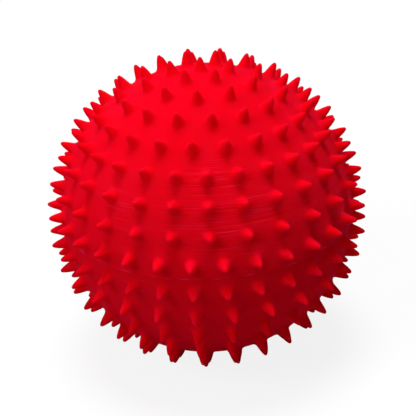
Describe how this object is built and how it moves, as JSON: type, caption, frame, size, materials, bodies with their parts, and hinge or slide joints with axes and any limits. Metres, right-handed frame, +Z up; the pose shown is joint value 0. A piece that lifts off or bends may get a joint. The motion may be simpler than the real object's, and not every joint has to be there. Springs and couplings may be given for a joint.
{
  "type": "spiky massage ball",
  "caption": "Hollow soft ball covered in rows of short blunt spikes, for rolling over muscles, with a push-in valve plug in its foot.",
  "frame": {"origin": "on the floor under the centre of the ball, in the plane of the lowest spike tips", "axes": "+Z up along the ball's axis, from the valve to the spike at the opposite pole; -Y is the front"},
  "size_m": [0.0896, 0.0895, 0.0893],
  "materials": {
    "red_pvc": "satin",
    "sleeve_rubber": "matte",
    "plug_plastic": "satin"
  },
  "bodies": {
    "ball": {"ball_skin": "red_pvc", "valve_sleeve": "sleeve_rubber"},
    "plug": {"valve_plug": "plug_plastic"}
  },
  "joints": [
    {"name": "plug_pull", "type": "slide", "parent": "ball", "child": "plug", "axis": [0, 0, -1], "range_m": [0, 0.009]}
  ]
}
